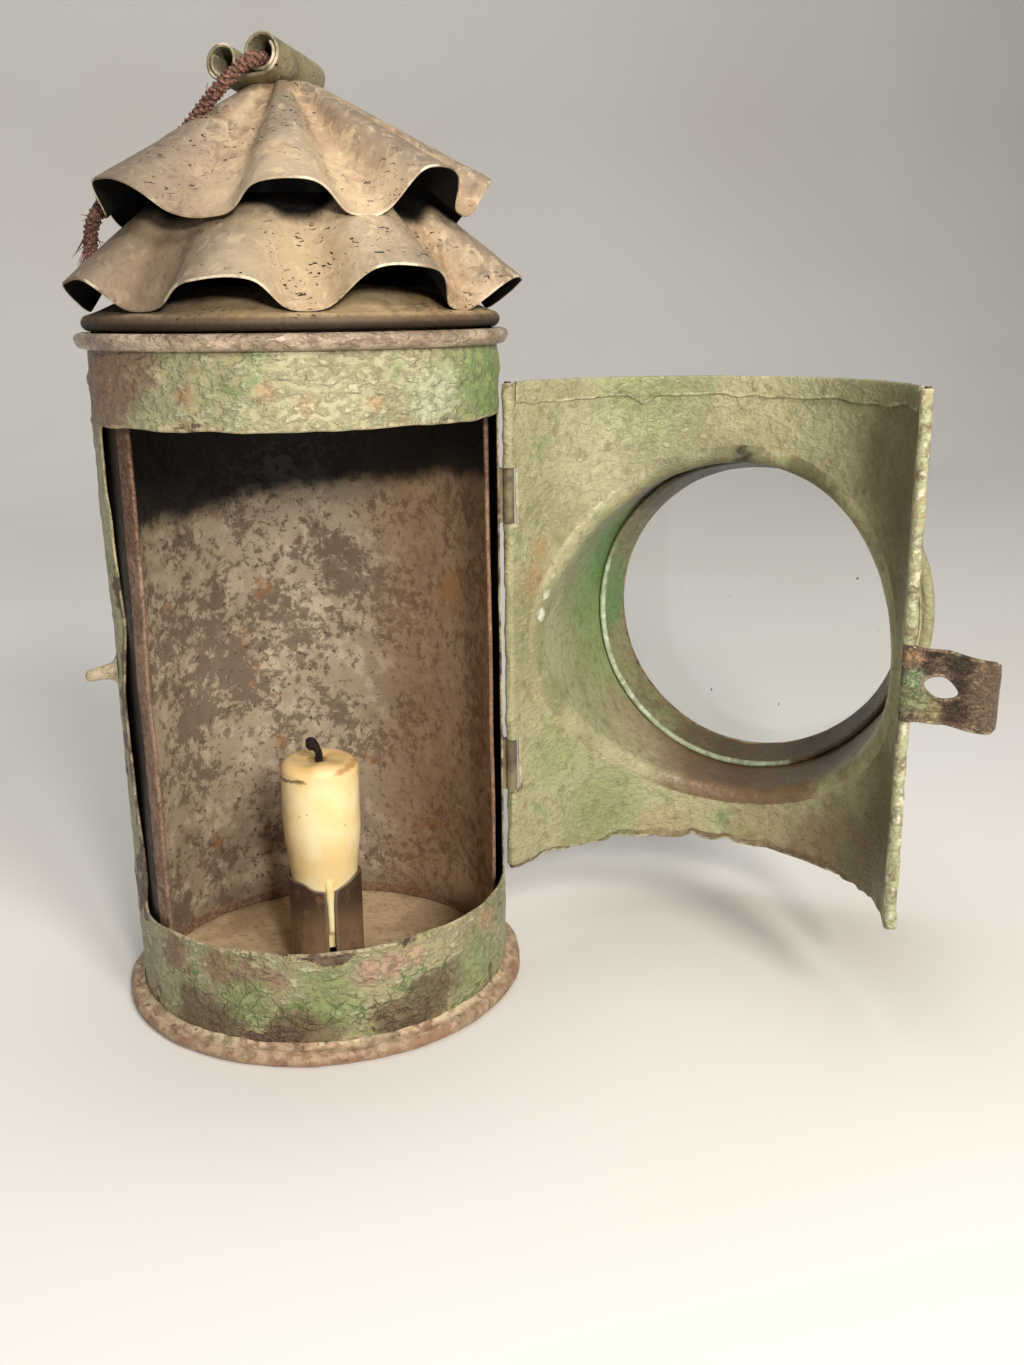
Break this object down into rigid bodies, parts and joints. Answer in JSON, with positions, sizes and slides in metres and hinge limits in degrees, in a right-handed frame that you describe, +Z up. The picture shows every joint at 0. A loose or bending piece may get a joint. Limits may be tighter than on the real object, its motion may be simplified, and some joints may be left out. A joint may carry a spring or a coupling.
{
  "type": "candle lantern",
  "caption": "Round sheet-tin candle lantern with a hinged window door, hasp latch, turning inner shutter and stacked fluted smoke cowls.",
  "frame": {"origin": "centre of the underside of the base pan", "axes": "+Z up the case's axis; -Y through the middle of the window when the door is shut; the hinge is on the +X side"},
  "size_m": [0.2324, 0.1373, 0.2365],
  "materials": {
    "green_paint": "old flaking green paint",
    "worn_paint": "worn paint over rust",
    "roof_tin": "weathered, cracked and sooty",
    "tarnished_tin": "mottled tarnish",
    "iron_wire": "dull",
    "clear_glass": "clear with dust",
    "wax": "waxy",
    "charred_wick": "charred",
    "brown_cord": "twisted fibre"
  },
  "bodies": {
    "case": {"base_pan": "worn_paint", "foot_wire": "iron_wire", "outer_case": "green_paint", "case_rim_wire": "iron_wire", "hinge_loop_lower": "tarnished_tin", "hinge_loop_upper": "tarnished_tin", "latch_stud": "green_paint", "candle_socket": "tarnished_tin"},
    "top": {"roof_cone": "roof_tin", "roof_rim_wire": "iron_wire", "roof_skirt": "tarnished_tin", "shutter": "tarnished_tin", "chimney_throat": "tarnished_tin", "lower_cowl": "roof_tin", "upper_cowl": "roof_tin", "cord_scroll": "roof_tin", "hanging_cord": "brown_cord"},
    "door": {"door_panel": "green_paint", "hinge_wire": "iron_wire", "door_edge_wire": "iron_wire", "window_collar": "green_paint", "window_glass": "clear_glass", "glass_retaining_ring": "green_paint", "window_bezel": "green_paint"},
    "hasp": {"hasp_strap": "worn_paint"},
    "candle": {"candle": "wax", "wick": "charred_wick"}
  },
  "joints": [
    {"name": "door_hinge", "type": "hinge", "parent": "case", "child": "door", "pos_m": [0.05122, -0.01098, 0.094], "axis": [0, 0, 1], "range_deg": [-141, 34]},
    {"name": "hasp_swing", "type": "hinge", "parent": "door", "child": "hasp", "pos_m": [0.13082, -0.07544, 0.0915], "axis": [0, 0, 1], "range_deg": [-90, 50]},
    {"name": "top_turn", "type": "hinge", "parent": "case", "child": "top", "pos_m": [0, 0, 0.175], "axis": [0, 0, 1], "continuous": true},
    {"name": "candle_lift", "type": "slide", "parent": "case", "child": "candle", "axis": [0, 0, 1], "range_m": [0, 0.028]}
  ]
}
